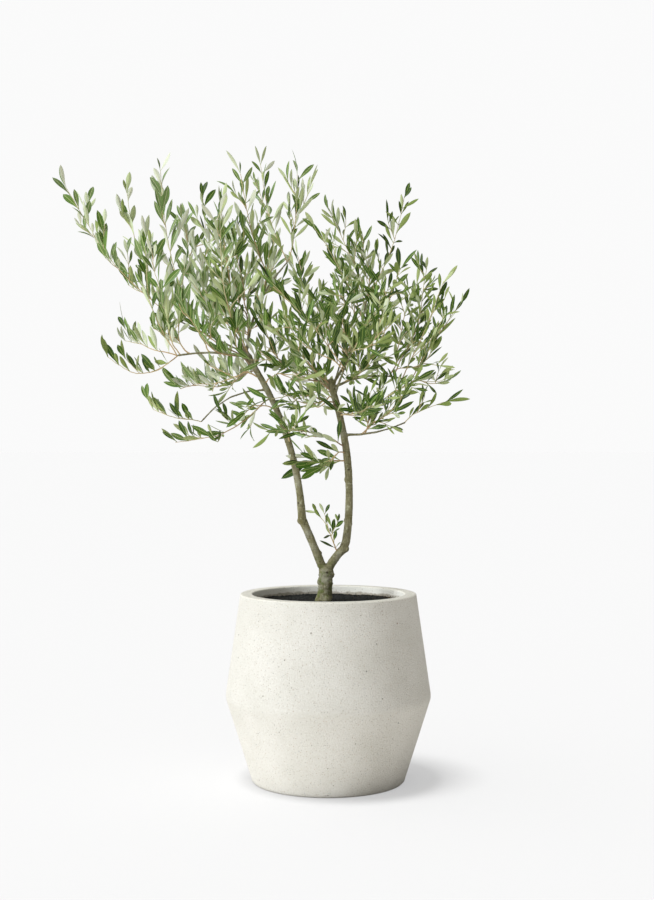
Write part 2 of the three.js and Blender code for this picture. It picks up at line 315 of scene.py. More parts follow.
def bake_modifiers(piece):
    """Replaces a piece's mesh by what its modifiers make of it."""
    graph = bpy.context.evaluated_depsgraph_get()
    mesh = bpy.data.meshes.new_from_object(piece.evaluated_get(graph))
    piece.modifiers.clear()
    piece.data = mesh


def add_relief(mesh, proud):
    """Moves each vertex out along its normal by what a function gives for its place."""
    normals = [v.normal.copy() for v in mesh.vertices]
    for vertex, normal in zip(mesh.vertices, normals):
        vertex.co += normal * proud(vertex.co)
    mesh.update()


def add_node(tree, kind, inputs=None, **settings):
    """Adds a shader node. Each input is a number or colour, or the socket that feeds it."""
    node = tree.nodes.new(f"ShaderNode{kind}")
    for key, value in settings.items():
        setattr(node, key, value)
    for key, value in (inputs or {}).items():
        if isinstance(value, bpy.types.NodeSocket):
            tree.links.new(value, node.inputs[key])
        else:
            node.inputs[key].default_value = value
    return node


# ---- centrelines of the CAD solids ----

SLICES = 12  # cuts that find a solid's centreline


def triangles(node):
    """Corner points of a node's triangles, as an array of triangles by corners by axes."""
    mesh = frame["nodes"][node].data
    mesh.calc_loop_triangles()
    corners = np.array([v.co for v in mesh.vertices])
    return corners[np.array([t.vertices for t in mesh.loop_triangles])]


def slice_of(tris, direction, height):
    """Centre and mean radius of the cut through triangles square to a direction."""
    levels = tris @ direction - height
    cut = tris[(levels.min(1) < 0) & (levels.max(1) > 0)]
    marks = cut @ direction - height
    ends = []
    for triangle, mark in zip(cut, marks):
        pair = []
        for i in range(3):
            a, b = mark[i], mark[(i + 1) % 3]
            if (a < 0) != (b < 0):
                pair.append(mix(triangle[i], triangle[(i + 1) % 3], a / (a - b)))
        ends.append(pair)
    ends = np.array(ends)
    middles = ends.mean(1)
    weights = np.linalg.norm(ends[:, 0] - ends[:, 1], axis=1)[:, None] + 1e-9
    centre = (middles * weights).sum(0) / weights.sum()
    return centre, float(np.linalg.norm(middles - centre, axis=1).mean())


def centreline(node, parent):
    """The path along the middle of a long solid, from its end on the parent's path or its foot."""
    tris = triangles(node)
    areas = np.linalg.norm(np.cross(tris[:, 1] - tris[:, 0], tris[:, 2] - tris[:, 0]), axis=1)
    _, axes = np.linalg.eigh(np.cov(tris.mean(1).T, aweights=areas))
    direction = axes[:, 2]
    levels = tris.reshape(-1, 3) @ direction
    low, high = levels.min(), levels.max()
    heights = [mix(low, high, (k + 0.5) / SLICES) for k in range(SLICES)]
    centres, radii = zip(*[slice_of(tris, direction, h) for h in heights])
    points = [Vector(c) for c in centres]
    ends = [parent.gap(p) if parent else p.z for p in (points[0], points[-1])]
    if ends[1] < ends[0]:
        points, radii = points[::-1], radii[::-1]
    half = (high - low) / SLICES / 2
    points.insert(0, points[0] + (points[0] - points[1]).normalized() * half)
    points.append(points[-1] + (points[-1] - points[-2]).normalized() * half)
    radii = [radii[0], *radii, radii[-1]]
    return Path(points, radii)


def solid_of(node):
    """A node's surface as a tree that finds the nearest place on it."""
    corners = triangles(node).reshape(-1, 3)
    return BVHTree.FromPolygons(corners.tolist(), np.arange(len(corners)).reshape(-1, 3).tolist())


def outside_by(solid, point):
    """How far a point lies outside a solid; negative inside it."""
    place, normal, _, _ = solid.find_nearest(point)
    return math.copysign((point - place).length, (point - place).dot(normal))


def limb_paths():
    """Every limb's path, each starting on the axis of the limb that it grows on."""
    paths = {}
    for name, parent in {**STEMS, **BOUGHS}.items():
        path = centreline(name, paths.get(parent))
        if parent:
            root = paths[parent].at(paths[parent].nearest(path.points[0]))
            path = Path([root, *path.points[1:]], path.radii)
        paths[name] = path
    return paths


LIMBS = limb_paths()


# ---- plain materials of leaves and twigs ----

def new_material(name, roughness, specular):
    """A material and its Principled shader."""
    material = bpy.data.materials.new(name)
    material.use_nodes = True
    shader = material.node_tree.nodes["Principled BSDF"]
    shader.inputs["Roughness"].default_value = roughness
    shader.inputs["Specular IOR Level"].default_value = specular
    return material, shader


def plain_material(name, shade, roughness, specular):
    material, shader = new_material(name, roughness, specular)
    shader.inputs["Base Color"].default_value = colour(shade)
    return material


# Tints run from the silvery left of the crown to the deep green of its lower right; dealt out by place,
# they are mostly painted light and shade, paler where light falls from the upper left. Each gives the
# colours of a leaf's upper side, its underside and its rib.
TINTS = [
    ("#6f8b4b", "#d7ddca", "#dddfb2"),
    ("#648339", "#cfd9be", "#d3d79f"),
    ("#597c27", "#c7d3af", "#c4cc8a"),
    ("#4b6f17", "#bbc899", "#b6c177"),
    ("#3b5d08", "#a6b579", "#a4b161"),
    ("#315104", "#8fa25d", "#93a250"),
    ("#264502", "#7a8e49", "#819341"),
]
GLOSSY_TINTS = 4  # the first of them, whose upper sides shine more
TWIG_SHADES = ["#75695c", "#98836c", "#b79c76", "#c9b38a", "#c9bf96"]


def leaf_materials():
    """Three materials for each tint, in the order that add_leaf counts them."""
    found = []
    for i, (upper, under, rib) in enumerate(TINTS):
        gloss = 0.5 if i < GLOSSY_TINTS else 0.35
        found.append(plain_material(f"leaf_upper_{i}", upper, 0.37, gloss))
        found.append(plain_material(f"leaf_under_{i}", under, 0.7, 0.3))
        found.append(plain_material(f"leaf_rib_{i}", rib, 0.6, 0.3))
    return found


# ---- leaves ----

STATIONS = 9
PETIOLE = 0.08  # share of the leaf's length
PETIOLE_WIDTH = 0.11  # share of the leaf's width
RIB_HALF = 0.3 * MM
RIB_PROUD = 0.4 * MM


def half_width_share(s, fullest):
    """Half width of a leaf at the share s of its length, for a half width of 1 where it is fullest."""
    if s < PETIOLE:
        return PETIOLE_WIDTH
    u = (s - PETIOLE) / (1 - PETIOLE)
    return PETIOLE_WIDTH * (1 - u) + 0.96 * math.sin(math.pi * u**fullest) ** mix(1.2, 0.62, u)


def add_leaf(leaves, rng, start, heading, face, length, width, tint):
    """One folded, slightly curled blade with a rib, from its petiole to its pointed tip."""
    aside = heading.cross(face).normalized()
    curl = rng.gauss(-0.15, 0.28)
    sickle = rng.gauss(0, 0.13)
    fold = rng.uniform(0.05, 0.45)
    fullest = rng.uniform(1.05, 1.55)
    rows = []
    for i in range(STATIONS):
        s = i / (STATIONS - 1)
        bend = face * (curl * s * s / 2) + aside * (sickle * s * s / 2)
        middle = start + (heading * s + bend) * length
        ahead = heading + face * (curl * s) + aside * (sickle * s)
        up = (face - ahead * face.dot(ahead) / ahead.length_squared).normalized()
        side = ahead.cross(up).normalized()
        half = width / 2 * half_width_share(s, fullest) + 0.2 * MM
        rib = min(RIB_HALF, half * 0.3)
        rise = up * math.sin(fold)
        edge = side * math.cos(fold)
        proud = up * -(RIB_PROUD * (1 - 0.7 * s))
        rows.append([
            middle + (rise - edge) * half,
            middle + (rise - edge) * rib,
            middle + (rise + edge) * rib,
            middle + (rise + edge) * half,
            middle + edge * rib * 1.2 + proud,
            middle - edge * rib * 1.2 + proud,
        ])
    upper, under, middle_rib = 3 * tint, 3 * tint + 1, 3 * tint + 2
    leaves.grid(rows, [upper, middle_rib, upper, under, middle_rib, under], wrap=True)


# ---- shoots ----

LEAF_LENGTH = 41 * MM
SLENDER_LEFT = 0.24  # a leaf's width as a share of its length, at the crown's left and right
SLENDER_RIGHT = 0.185
INTERNODE = 20 * MM  # from one pair of leaves to the next
MISSING = 0.14  # share of the leaves that have fallen
OPENING = 33  # degrees between a leaf and its shoot
TIP_OPENING = 15
TWIG_SIDES = 5
STEP = 8 * MM
SLIM = 30 * MM  # a mass with a smaller radius has one leading shoot, and others have two
FILL_SPACING = 34 * MM
FILL_TRIES = 900
CROWN_FOOT = 0.6  # metres; leaves are painted lighter further above it, as painted light from above


def share_across(place):
    """Where a place lies from the crown's left edge, 0, to its right edge, 1."""
    low, high = CAD_BOX
    return (place.x - low[0]) / (high[0] - low[0])


def tint_and_painted_shade_of(rng, place):
    """A tint by place, silvery on the left, green on the right, deep at the lower right: mostly painted
    light and shade, paler where light falls from the upper left and higher up, with a random spread.
    """
    up = (place.z - CROWN_FOOT) / (CAD_BOX[1][2] - CROWN_FOOT)
    shade = 0.7 + 4.3 * share_across(place) - 0.8 * up + rng.gauss(0, 0.5)
    return clamp(shade, 0, len(TINTS) - 1)


class Spray:
    """Shoots that share their meshes, their random numbers and the way they hold their leaves."""

    def __init__(self, seed, leaves, twigs, upright, sparse=1.0, broad=1.0):
        self.rng = random.Random(seed)
        self.leaves, self.twigs = leaves, twigs
        self.upright, self.sparse, self.broad = upright, sparse, broad

    def add_leaves(self, path, leafy, scale, shade):
        """Opposite pairs of leaves up a shoot, each square to the last pair, all held upward."""
        rng = self.rng
        spacing = INTERNODE * scale * self.sparse
        across = clamp((share_across(path.at(0.5)) - 0.2) / 0.3, 0, 1)
        slender = mix(SLENDER_LEFT, SLENDER_RIGHT, across) * self.broad
        count = max(2, round(path.length * (1 - leafy) / spacing))
        turn = rng.uniform(0, math.pi)
        for k in range(count + 1):
            last = k == count
            t = clamp(mix(leafy, 1.0, (k / count) ** 0.92) + rng.gauss(0, 0.01), 0.0, 1.0)
            at, ahead = path.at(t), path.heading(t)
            aside, above = square_to(ahead)
            upward = UP - ahead * UP.dot(ahead)
            lean = upward.length
            for side in (0, 1):
                if not last and rng.random() < MISSING * self.sparse:
                    continue
                out = around(aside, above, turn + k * TURN / 4 + side * math.pi + rng.gauss(0, 0.3))
                opening = rng.gauss(TIP_OPENING if last else OPENING, 7)
                opening += 24 * out.dot(upward) * min(self.upright, 1)
                heading = around(ahead, out, math.radians(opening))
                heading += UP * (self.upright * lean * rng.uniform(0.6, 1.3))
                heading += jitter(rng, mix(0.13, 0.27, across))
                heading.normalize()
                face = ahead - heading * ahead.dot(heading)
                face = face.normalized() if face.length > 0.05 else square_to(heading)[0]
                turned = [Matrix.Rotation(rng.gauss(0, 1.1), 3, heading) @ face for _ in range(2)]
                face = max(turned, key=lambda way: abs(way.y))  # petioles turn the blades to the light
                length = LEAF_LENGTH * scale * clamp(rng.gauss(1.0, 0.22), 0.5, 1.35)
                width = (0.35 * LEAF_LENGTH * scale + 0.65 * length) * slender * rng.uniform(0.75, 1.25)
                tint = round(clamp(shade + rng.gauss(0, 1.5), 0, len(TINTS) - 1))
                start = at + out * path.radius(t) * 0.6
                add_leaf(self.leaves, rng, start, heading, face, length, width, tint)

    def add_twig(self, path):
        """A shoot's own wood, greyer and browner where it is thick, with small kinks."""
        points, radii = path.resampled(6 * MM)
        for i in range(1, len(points) - 1):
            points[i] += jitter(self.rng, 1) * 0.25 * MM
        young = self.rng.uniform(-0.9, 0.7)
        shades = [4.4 - (radius / MM - 0.5) * 2.6 + young for radius in radii[:-1]]
        slots = [round(clamp(shade, 0, len(TWIG_SHADES) - 1)) for shade in shades]
        self.twigs.tube(points, radii, TWIG_SIDES, slots)


def places_to_fill(rng, solid, corners, spacing, inset):
    """Points strewn through a solid, none nearer to another than the spacing."""
    found = []
    for _ in range(FILL_TRIES):
        point = Vector([rng.uniform(a, b) for a, b in zip(*corners)])
        if outside_by(solid, point) > -inset:
            continue
        if all((point - other).length > spacing for other in found):
            found.append(point)
    return found


def fork_for(paths, target):
    """The path and the share of it from which a shoot reaches a target at the most natural angle."""
    def cost(fork):
        path, t = fork
        way = target - path.at(t)
        lean = way.angle(path.heading(t), 0.0)
        return way.length * (1 + 1.5 * abs(lean - 0.7) + (2 if lean > 1.5 else 0))

    return min(((path, k / 20) for path in paths for k in range(1, 19)), key=cost)


def shoot_to(rng, path, t, target):
    """A curved shoot that leaves a path at a narrow angle and bends up as it nears its target."""
    start = path.at(t)
    way = target - start
    first = (path.heading(t) + way.normalized()).normalized()
    bend = start + first * (way.length * 0.5) - UP * (0.06 * way.length)
    count = max(3, round(way.length / (9 * MM)))
    points = []
    for k in range(count + 1):
        u = k / count
        point = start * (1 - u)**2 + bend * (2 * u * (1 - u)) + target * u**2
        if 0 < k < count:
            point += jitter(rng, 1) * 0.6 * MM
        points.append(point)
    radius = clamp(path.radius(t) * 0.8, 1.0 * MM, 1.5 * MM)
    return Path(points, tapered(radius, 0.65 * MM, count + 1))


def branch_heading(rng, path, t, turn):
    """A heading that leaves a path at a wide angle, round it by turn and a little upward."""
    out = around(*square_to(path.heading(t)), turn)
    heading = around(path.heading(t), out, math.radians(rng.uniform(30, 55)))
    return (heading + UP * 0.15).normalized()


class Mass(Spray):
    """Everything that stands for one mass: its leading shoots, side shoots, twigs and leaves."""

    def __init__(self, node, leaves, twigs, on, full=1.0, scale=None, darker=0.0, upright=None,
                 **traits):
        self.parent = LIMBS[on]
        self.axis = centreline(node, self.parent)
        middle = self.axis.at(0.6)
        across = share_across(middle)
        if upright is None:  # most on the left, where shoots reach far out
            upright = mix(1.15, 0.4, clamp((across - 0.2) / 0.6, 0, 1))
        super().__init__(node, leaves, twigs, upright, **traits)
        self.solid, self.corners = solid_of(node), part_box(node)
        self.scale = scale or mix(1.02, 0.86, across)
        self.leaf = LEAF_LENGTH * self.scale
        self.girth = max(self.axis.radii)
        self.slim = self.girth < SLIM
        self.full = full
        self.shade = tint_and_painted_shade_of(self.rng, middle) + darker

    def grow(self):
        """A slim mass has one leader with side shoots along it; a full one has two, and is filled."""
        rng = self.rng
        strands = 1 if self.slim else 2
        turn = rng.uniform(0, TURN)
        leaders = []
        for strand in range(strands):
            turn += TURN / strands + rng.gauss(0, 0.2)
            leader = self.leader(strand, turn)
            leaders.append(leader)
            shade = self.shade + rng.gauss(0, 0.4)
            self.add_twig(leader)
            self.add_leaves(leader, 0.15, self.scale, shade)
            if self.slim:
                self.grow_sides(leader, shade)
        if not self.slim:
            self.fill(leaders)

    def leader(self, strand, turn):
        """A shoot along the axis that hangs where it is level. Each of two keeps to its own side."""
        rng, axis = self.rng, self.axis
        spread = 0.0 if self.slim else rng.uniform(0.3, 0.6)
        hang = 0.9 if self.slim else 0.5
        end = 1 - 0.85 * self.leaf / axis.length - (rng.uniform(0.05, 0.25) if strand else 0)
        fork = clamp(self.parent.nearest(axis.points[0]) - 0.06 * strand, 0.05, 1.0)
        thickness = clamp(self.parent.radius(fork) * 0.7, 0.9 * MM, 1.6 * MM) * mix(0.7, 1, self.scale)
        points = [self.parent.at(fork)]
        for t in np.linspace(0.06 + 0.04 * strand, end, 8):
            ahead = axis.heading(t)
            swell = math.sin(math.pi * min(t * 1.1, 0.8))
            lower = ahead * UP.dot(ahead) - UP  # square to the axis, longest where it is level
            drop = hang * axis.radius(t) * min(self.upright, 1) * swell
            out = around(*square_to(ahead), turn)
            points.append(axis.at(t) + lower * drop + out * spread * swell * axis.radius(t))
        return Path(points, tapered(thickness, 0.5 * MM, len(points)))

    def grow_sides(self, leader, shade):
        """The side shoots of a leading shoot, spaced along it and turned round it."""
        rng = self.rng
        count = round(self.full * leader.length / (60 * MM))
        turn = rng.uniform(0, TURN)
        for k in range(count):
            t = mix(0.1, 0.8, (k + rng.uniform(0.2, 0.8)) / count)
            turn += GOLDEN_ANGLE
            heading = branch_heading(rng, leader, t, turn)
            room = min(leader.length * (1.1 - t) * 0.8, 3.0 * self.girth)
            reach = rng.uniform(0.6, 1.1) * room + 20 * MM
            shoot = self.side_shoot(leader.at(t), heading, reach, leader.radius(t) * 0.75)
            scale = self.scale * rng.uniform(0.75, 1.0)
            own_shade = shade + rng.gauss(0, 0.5)
            self.add_twig(shoot)
            self.add_leaves(shoot, 0.2, scale, own_shade)

    def side_shoot(self, start, heading, reach, radius):
        """A path grown in steps that bends up to the light and stops before it leaves the solid."""
        points = [start]
        run = 0.0
        while run < reach:
            heading = (heading + UP * 0.07).normalized() + jitter(self.rng, 0.05)
            heading.normalize()
            ahead = points[-1] + heading * STEP
            tip = ahead + heading * (0.4 * self.leaf)
            if run > 3 * STEP and outside_by(self.solid, tip) > 8 * MM:
                break
            points.append(ahead)
            run += STEP
        return Path(points, tapered(max(radius, 0.8 * MM), 0.5 * MM, len(points)))

    def fill(self, leaders):
        """Side shoots that fill the mass evenly, each forked from a leader or an earlier shoot."""
        rng = self.rng
        spacing = FILL_SPACING * self.full ** -0.5 * mix(0.7, 1.0, self.scale)
        targets = places_to_fill(rng, self.solid, self.corners, spacing, 0.1 * self.leaf)
        targets.sort(key=lambda p: (p - leaders[0].points[0]).length)
        paths = list(leaders)
        for target in targets:
            path, t = fork_for(paths, target)
            if path.gap(target) < 0.2 * self.leaf:
                continue
            shoot = shoot_to(rng, path, t, target)
            paths.append(shoot)
            self.add_twig(shoot)
            bare = clamp(1 - 75 * MM / shoot.length, 0.15, 0.6) + rng.uniform(0, 0.2)
            scale = self.scale * rng.uniform(0.7, 1.0)
            self.add_leaves(shoot, bare, scale, self.shade + rng.gauss(0, 0.5))


def grow_loose_shoot(limb, share, tip, leaves, twigs):
    """A shoot of its own from a limb, which wanders between the masses, with a few side shoots."""
    spray = Spray(f"{limb} {share}", leaves, twigs, 0.4, sparse=1.7)
    rng = spray.rng
    target = Vector(tip) * MM
    shoot = shoot_to(rng, LIMBS[limb], share, target)
    shade = tint_and_painted_shade_of(rng, target)
    spray.add_twig(shoot)
    spray.add_leaves(shoot, 0.35, 0.95, shade)
    for t in (0.45, 0.7):
        heading = branch_heading(rng, shoot, t, rng.uniform(0, TURN))
        side = shoot_to(rng, shoot, t, shoot.at(t) + heading * rng.uniform(25, 50) * MM)
        spray.add_twig(side)
        spray.add_leaves(side, 0.5, rng.uniform(0.7, 0.95), shade + rng.gauss(0, 0.5))


# The pieces of the crown and how far across it each reaches.
CROWN_PIECES = {"leaves_left": 0.34, "leaves_middle": 0.64, "leaves_right": 1.01}


def grow_crown():
    """The crown's leaves in three pieces, left, middle and right, and its twigs in one."""
    materials = leaf_materials()
    twigs = Builder()
    piles = {name: (Builder(), []) for name in CROWN_PIECES}
    for name, traits in MASSES.items():
        node = f"foliage_{name}"
        low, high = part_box(node)
        across = share_across((low + high) / 2)
        leaves, nodes = piles[next(n for n, edge in CROWN_PIECES.items() if across < edge)]
        Mass(node, leaves, twigs, **traits).grow()
        nodes.append(node)
    for limb, share, tip in LOOSE_SHOOTS:
        grow_loose_shoot(limb, share, tip, piles["leaves_middle"][0], twigs)
    for name, (leaves, nodes) in piles.items():
        piece = leaves.build(name, materials)
        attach(piece, "root")
        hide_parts(*nodes)
    shades = [plain_material(f"twig_{i}", shade, 0.75, 0.3) for i, shade in enumerate(TWIG_SHADES)]
    piece = twigs.build("twigs", shades)
    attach(piece, "root")


# ---- bark ----

VOXEL = 1.2 * MM
BURIED = 12 * MM  # how far the trunk runs on into the soil
# Knots: the limb, the share of its length, the side in degrees, the size and how far out, in mm.
# The burl at the foot of the trunk is round, and the others are stretched along the limb.
KNOTS = [
    ("left_stem_lower", 0.98, 180, 4.6, 2.8),
    ("left_stem_lower", 0.93, 260, 2.6, 1.2),
    ("left_stem_lower", 0.34, -10, 3.6, 1.8),
    ("left_stem_upper", 0.985, 200, 8, 3),
    ("left_stem_upper", 0.95, 20, 5, 1.6),
    ("right_stem_lower", 0.9, -30, 4.6, 3),
    ("right_stem_lower", 0.75, -60, 3.4, 1.6),
    ("right_stem_upper", 0.14, 0, 3, 1.2),
    ("right_stem_upper", 0.16, 185, 3.6, 1.8),
    ("right_stem_upper", 0.4, 190, 4.4, 2.2),
    ("right_stem_upper", 0.98, 160, 4.5, 1.4),
    ("trunk", 0.62, 200, 6, 2.4),
    ("trunk", 0.88, 0, 5, 2.2),
    ("trunk", 0.12, -62, 8.5, 4, 1.0),
]
# Warts: the limb, the stretch of it that has them, how many and the size of the largest, in mm.
WARTS = [
    ("trunk", 0.15, 1.0, 26, 2.6),
    ("right_stem_lower", 0.1, 1.0, 16, 2.2),
    ("left_stem_lower", 0.1, 0.9, 7, 1.8),
    ("right_stem_upper", 0.02, 0.95, 14, 1.9),
    ("left_stem_upper", 0.02, 0.95, 10, 1.8),
]


def joined(*paths):
    """One path through several that follow on from each other."""
    points, radii = [], []
    for path in paths:
        points += path.points[1:] if points else path.points
        radii += path.radii[1:] if radii else path.radii
    return Path(points, radii)


def add_limb(bark, path, sides=24, step=3 * MM, collar=0.0):
    """A limb's tube. A collar widens it where it leaves its parent."""
    points, radii = path.resampled(step)
    radii = [r * (1 + collar * math.exp(-path.length * k / (len(radii) - 1) / (5 * MM)))
             for k, r in enumerate(radii)]
    bark.tube(points, radii, sides, [0] * len(points))


def add_ball(bark, centre, axis, size, stretch):
    """A ball, stretched along an axis, that the remeshing melts into the limbs."""
    rings = 7
    polars = [math.pi * i / rings for i in range(rings - 1, 0, -1)]
    points = [centre + axis * (math.cos(polar) * stretch * size) for polar in polars]
    bark.tube(points, [math.sin(polar) * size for polar in polars], 12, [0] * rings)


def add_knot(bark, limb, share, azimuth, size, proud, stretch=1.3):
    """A rounded knot on a limb; its measures are in millimetres."""
    path = LIMBS[limb]
    at, ahead = path.at(share), path.heading(share)
    out = around(Vector((1, 0, 0)), Vector((0, 1, 0)), math.radians(azimuth))
    out = (out - ahead * out.dot(ahead)).normalized()
    add_ball(bark, at + out * (path.radius(share) + (proud - size) * MM), ahead, size * MM, stretch)


def add_warts(bark, rng, limb, low, high, count, largest):
    """Small knobs strewn over a stretch of a limb, as old buds and cut shoots leave them."""
    for _ in range(count):
        size = rng.uniform(0.5, 1.0) * largest
        add_knot(bark, limb, rng.uniform(low, high), rng.uniform(0, 360), size, size * 0.45, 1.1)


def bark_relief(point):
    """How far the bark stands proud: swellings, fissures, and wrinkles that deepen at the foot."""
    broad = noise.noise(point * 38)
    fissures = noise.noise(Vector((point.x * 420, point.y * 420, point.z * 95)))
    wrinkles = noise.noise(Vector((point.x * 60, point.y * 60, point.z * 330)))
    low = clamp((0.43 - point.z) / 0.06, 0, 1)
    return (0.55 * broad + 0.28 * (1 - 2 * abs(fissures)) + (0.2 + 0.5 * low) * wrinkles) * MM


def grow_bark():
    """Trunk, stems and boughs with their knots, melted into one piece and given relief."""
    rng = random.Random("bark")
    bark = Builder()
    trunk = LIMBS["trunk"]
    radii = [r * share for r, share in zip(trunk.radii, tapered(1.0, 0.9, len(trunk.radii)))]
    add_limb(bark, Path([trunk.points[0] - UP * BURIED, *trunk.points], [trunk.radii[0] * 1.12, *radii]))
    add_ball(bark, trunk.at(0.93), trunk.heading(0.9), 14 * MM, 1.15)
    for side in ("left", "right"):
        add_limb(bark, joined(LIMBS[f"{side}_stem_lower"], LIMBS[f"{side}_stem_upper"]))
    for name in BOUGHS:
        add_limb(bark, LIMBS[name], sides=14, step=2.5 * MM, collar=0.8)
    for knot in KNOTS:
        add_knot(bark, *knot)
    for warts in WARTS:
        add_warts(bark, rng, *warts)
    piece = bark.build("bark", [tree_bark()])
    remesh = piece.modifiers.new("remesh", "REMESH")
    remesh.mode = "VOXEL"
    remesh.voxel_size = VOXEL
    remesh.use_smooth_shade = True
    smooth = piece.modifiers.new("smooth", "SMOOTH")
    smooth.factor = 0.5
    smooth.iterations = 4
    bake_modifiers(piece)
    add_relief(piece.data, bark_relief)
    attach(piece, "root")
    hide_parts(*STEMS, *BOUGHS)


# ---- procedural materials ----

# The Mix node's colour sockets, which share their names with its number and vector sockets.
COLOUR_A, COLOUR_B, BLENDED = 6, 7, 2


class Pattern:
    """A Principled material whose colour and bump are mixed from noise in the object's own space."""

    def __init__(self, name, roughness, specular):
        self.material, self.shader = new_material(name, roughness, specular)
        self.tree = self.material.node_tree
        self.space = self.add("TexCoord", "Object", {})
        self.height = self.add("SeparateXYZ", "Z", {0: self.space})

    def add(self, kind, output, inputs, **settings):
        """Adds a node and gives one of its outputs."""
        return add_node(self.tree, kind, inputs, **settings).outputs[output]

    def stretched(self, x, y, z):
        return self.add("Mapping", "Vector", {"Vector": self.space, "Scale": (x, y, z)})

    def noise(self, scale, detail=3.0, roughness=0.55, space=None):
        return self.add("TexNoise", "Fac", {"Vector": space or self.space, "Scale": scale,
                                            "Detail": detail, "Roughness": roughness})

    def cells(self, scale):
        """The distance to the nearest of strewn points, and that point's own three random numbers."""
        node = add_node(self.tree, "TexVoronoi", {"Vector": self.space, "Scale": scale})
        numbers = add_node(self.tree, "SeparateXYZ", {0: node.outputs["Color"]}).outputs
        return node.outputs["Distance"], *numbers

    def span(self, value, low, high, most=1.0, least=0.0, smooth=True):
        """Maps a value's span from low to high onto that from least to most, and clamps it."""
        return self.add("MapRange", "Result", {"Value": value, "From Min": low, "From Max": high,
                                               "To Min": least, "To Max": most},
                        interpolation_type="SMOOTHSTEP" if smooth else "LINEAR")

    def maths(self, operation, a, b):
        return self.add("Math", 0, {0: a, 1: b}, operation=operation)

    def times(self, a, b):
        return self.maths("MULTIPLY", a, b)

    def distance_out(self):
        """Distance from the upright axis."""
        return self.add("VectorMath", "Value", {0: self.stretched(1, 1, 0)}, operation="LENGTH")

    def ramp(self, value, stops, constant=False):
        """A colour for a value from stops of (place, sRGB colour)."""
        node = add_node(self.tree, "ValToRGB", {"Fac": value})
        ramp = node.color_ramp
        ramp.interpolation = "CONSTANT" if constant else "LINEAR"
        while len(ramp.elements) < len(stops):
            ramp.elements.new(1.0)
        for element, (place, shade) in zip(ramp.elements, stops):
            element.position = place
            element.color = colour(shade)
        return node.outputs["Color"]

    def blend(self, share, under, over):
        """Lays one colour over another by a share; the upper colour is a socket or an sRGB text."""
        over = colour(over) if isinstance(over, str) else over
        colours = {COLOUR_A: under, COLOUR_B: over}
        return self.add("Mix", BLENDED, {"Factor": share, **colours}, data_type="RGBA")

    def finish(self, shade, height, distance, strength=1.0):
        """Gives the material its colour, and bumps of a height in metres."""
        bump = add_node(self.tree, "Bump", {"Height": height, "Distance": distance,
                                            "Strength": strength})
        self.tree.links.new(shade, self.shader.inputs["Base Color"])
        self.tree.links.new(bump.outputs["Normal"], self.shader.inputs["Normal"])
        return self.material


def cast_stone():
    """Pale cast stone: fine mottled grain, specks and pits of grey, brown and rust, and painted light that
    makes the inside and the top of the rim paler.
    """
    p = Pattern("cast_stone", 0.82, 0.3)
    grain = p.noise(400, 3.0, 0.7)
    shade = p.ramp(p.span(p.noise(14), 0.3, 0.7), [(0.0, "#dbd9d2"), (1.0, "#e2e0da")])
    shade = p.blend(p.span(grain, 0.52, 0.72, 0.45), shade, "#c6bfaf")
    shade = p.blend(p.span(grain, 0.46, 0.26, 0.5), shade, "#f8f7f3")

    mouth, rim = POT["mouth"] * MM, POT["height"] * MM
    near_axis = p.span(p.distance_out(), mouth + 5.4 * MM, mouth + 1.4 * MM)
    inner = p.times(near_axis, p.span(p.height, rim - 46 * MM, rim - 26 * MM))
    shade = p.blend(inner, shade, "#fffdf5")  # painted light: a paler inside and rim edge, painted as if more lit; then a stain near the soil
    # painted highlight: the top face of the rim is painted paler, as if lit from above
    shade = p.blend(p.span(p.height, rim - 2.5 * MM, rim - 1 * MM, 0.75), shade, "#fbf8ee")
    soiled = p.maths("ADD", p.height, p.times(p.noise(60), 12 * MM))
    soiled = p.span(soiled, rim - 3.5 * MM, rim - 7.5 * MM, 0.6)
    shade = p.blend(p.times(inner, soiled), shade, "#8c7c60")

    fine, choice, hue, _ = p.cells(300)
    dots = p.times(p.span(fine, 0.25, 0.12, 0.82), p.span(choice, 0.45, 0.46))
    tint = p.ramp(hue, [(0.0, "#8b8478"), (0.3, "#a3957f"), (0.55, "#b8a388"), (0.75, "#969ba0"),
                        (0.9, "#ab8467")], True)
    shade = p.blend(dots, shade, tint)

    coarse, choice, hue, size = p.cells(105)
    within = p.maths("SUBTRACT", coarse, p.span(size, 0.0, 1.0, 0.12, 0.03, False))
    spots = p.times(p.span(within, 0.04, -0.03), p.span(choice, 0.84, 0.85))
    dark = p.ramp(hue, [(0.0, "#6b655b"), (0.35, "#857766"), (0.6, "#8f6446"), (0.72, "#7a7f83"),
                        (0.9, "#57524a")], True)
    shade = p.blend(spots, shade, dark)
    height = p.maths("SUBTRACT", grain, p.times(spots, 1.2))
    height = p.maths("SUBTRACT", height, p.times(dots, 0.3))
    return p.finish(shade, height, 2 * MM, 0.9)


def potting_mix():
    """Near-black peat with paler brown crumbs and fibres."""
    p = Pattern("potting_mix", 0.95, 0.2)
    grain = p.noise(260, 4.0, 0.7)
    shade = p.ramp(grain, [(0.3, "#0f1011"), (0.5, "#212323"), (0.62, "#323330"), (0.76, "#544a3d")])
    return p.finish(shade, grain, 1.5 * MM)


